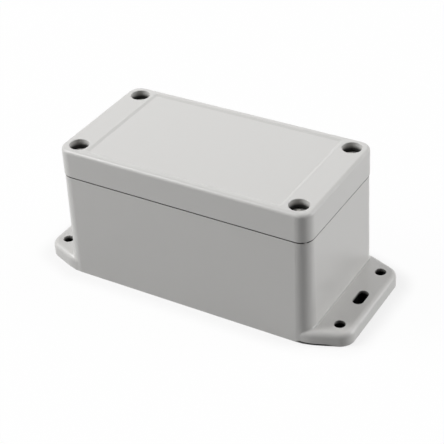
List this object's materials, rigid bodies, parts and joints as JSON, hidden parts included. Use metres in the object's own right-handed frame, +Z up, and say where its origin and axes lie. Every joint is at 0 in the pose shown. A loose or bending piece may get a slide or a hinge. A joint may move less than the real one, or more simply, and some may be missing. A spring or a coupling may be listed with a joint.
{
  "type": "plastic project box",
  "caption": "Deep rectangular plastic enclosure with rounded corners, a screwed lid with a recessed panel, and drilled mounting flanges at both ends.",
  "frame": {"origin": "centre of the mounting face, on the surface that the box stands on", "axes": "+X along the box from flange to flange, +Y to the back, +Z up through the lid"},
  "size_m": [0.146, 0.061, 0.061],
  "materials": {
    "grey_plastic": "light grey moulded plastic with a fine satin texture",
    "seal_rubber": "black soft rubber",
    "screw_steel": "zinc-plated steel",
    "insert_brass": "plain turned brass"
  },
  "bodies": {
    "base": {"base": "grey_plastic", "thread_insert_front_left": "insert_brass", "thread_insert_front_right": "insert_brass", "thread_insert_rear_right": "insert_brass", "thread_insert_rear_left": "insert_brass"},
    "lid": {"lid": "grey_plastic", "lid_gasket": "seal_rubber"},
    "lid_screw_front_left": {"lid_screw_front_left": "screw_steel"},
    "lid_screw_front_right": {"lid_screw_front_right": "screw_steel"},
    "lid_screw_rear_right": {"lid_screw_rear_right": "screw_steel"},
    "lid_screw_rear_left": {"lid_screw_rear_left": "screw_steel"}
  },
  "joints": [
    {"name": "lid_lift", "type": "slide", "parent": "base", "child": "lid", "axis": [0, 0, 1], "range_m": [0, 0.06]},
    {"name": "screw_turn_front_left", "type": "hinge", "parent": "lid", "child": "lid_screw_front_left", "pos_m": [-0.0509, -0.0231, 0.0542], "axis": [0, 0, 1], "continuous": true},
    {"name": "screw_turn_front_right", "type": "hinge", "parent": "lid", "child": "lid_screw_front_right", "pos_m": [0.0509, -0.0231, 0.0542], "axis": [0, 0, 1], "continuous": true},
    {"name": "screw_turn_rear_right", "type": "hinge", "parent": "lid", "child": "lid_screw_rear_right", "pos_m": [0.0509, 0.0231, 0.0542], "axis": [0, 0, 1], "continuous": true},
    {"name": "screw_turn_rear_left", "type": "hinge", "parent": "lid", "child": "lid_screw_rear_left", "pos_m": [-0.0509, 0.0231, 0.0542], "axis": [0, 0, 1], "continuous": true}
  ]
}
